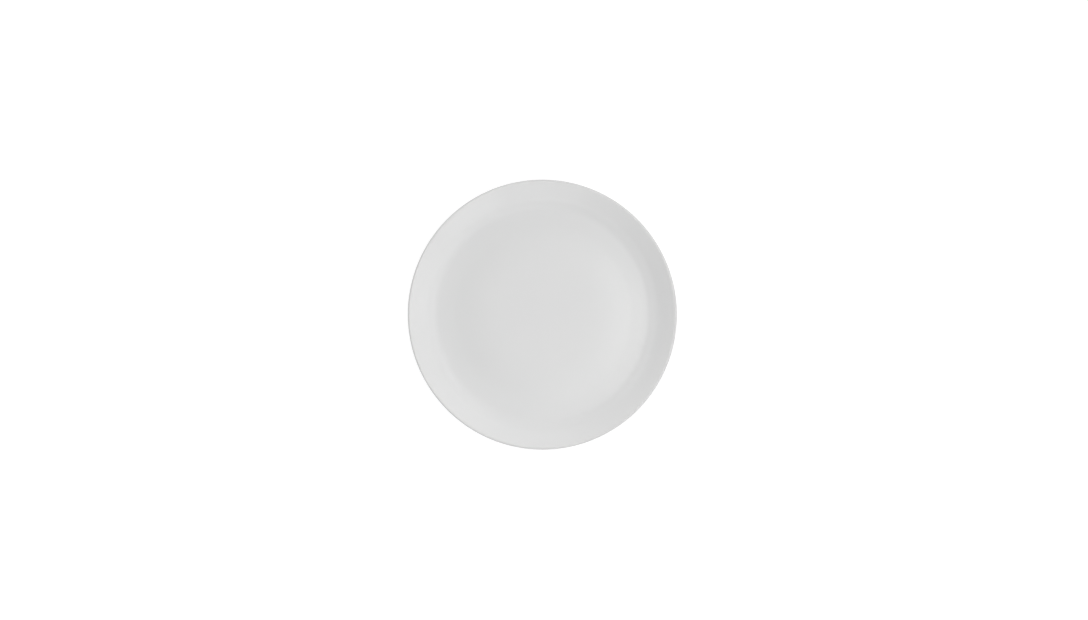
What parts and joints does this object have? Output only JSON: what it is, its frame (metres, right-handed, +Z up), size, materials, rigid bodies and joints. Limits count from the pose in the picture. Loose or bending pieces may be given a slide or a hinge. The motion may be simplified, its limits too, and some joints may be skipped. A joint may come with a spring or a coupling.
{
  "type": "bread plate",
  "caption": "Round coupe bread plate of white glazed porcelain, with a wide shallow well, an upswept wall, a round lip and a foot ring wiped bare underneath.",
  "frame": {"origin": "centre of the foot ring's bearing face, on the table", "axes": "+Z up along the plate's axis; X and Y are level, and the plate is the same all round"},
  "size_m": [0.16, 0.16, 0.0145],
  "materials": {
    "white_glaze": "gloss",
    "bare_porcelain": "matte"
  },
  "bodies": {
    "root": {"porcelain_body": "bare_porcelain", "glaze_coat": "white_glaze", "recess_glaze": "white_glaze"}
  },
  "joints": []
}
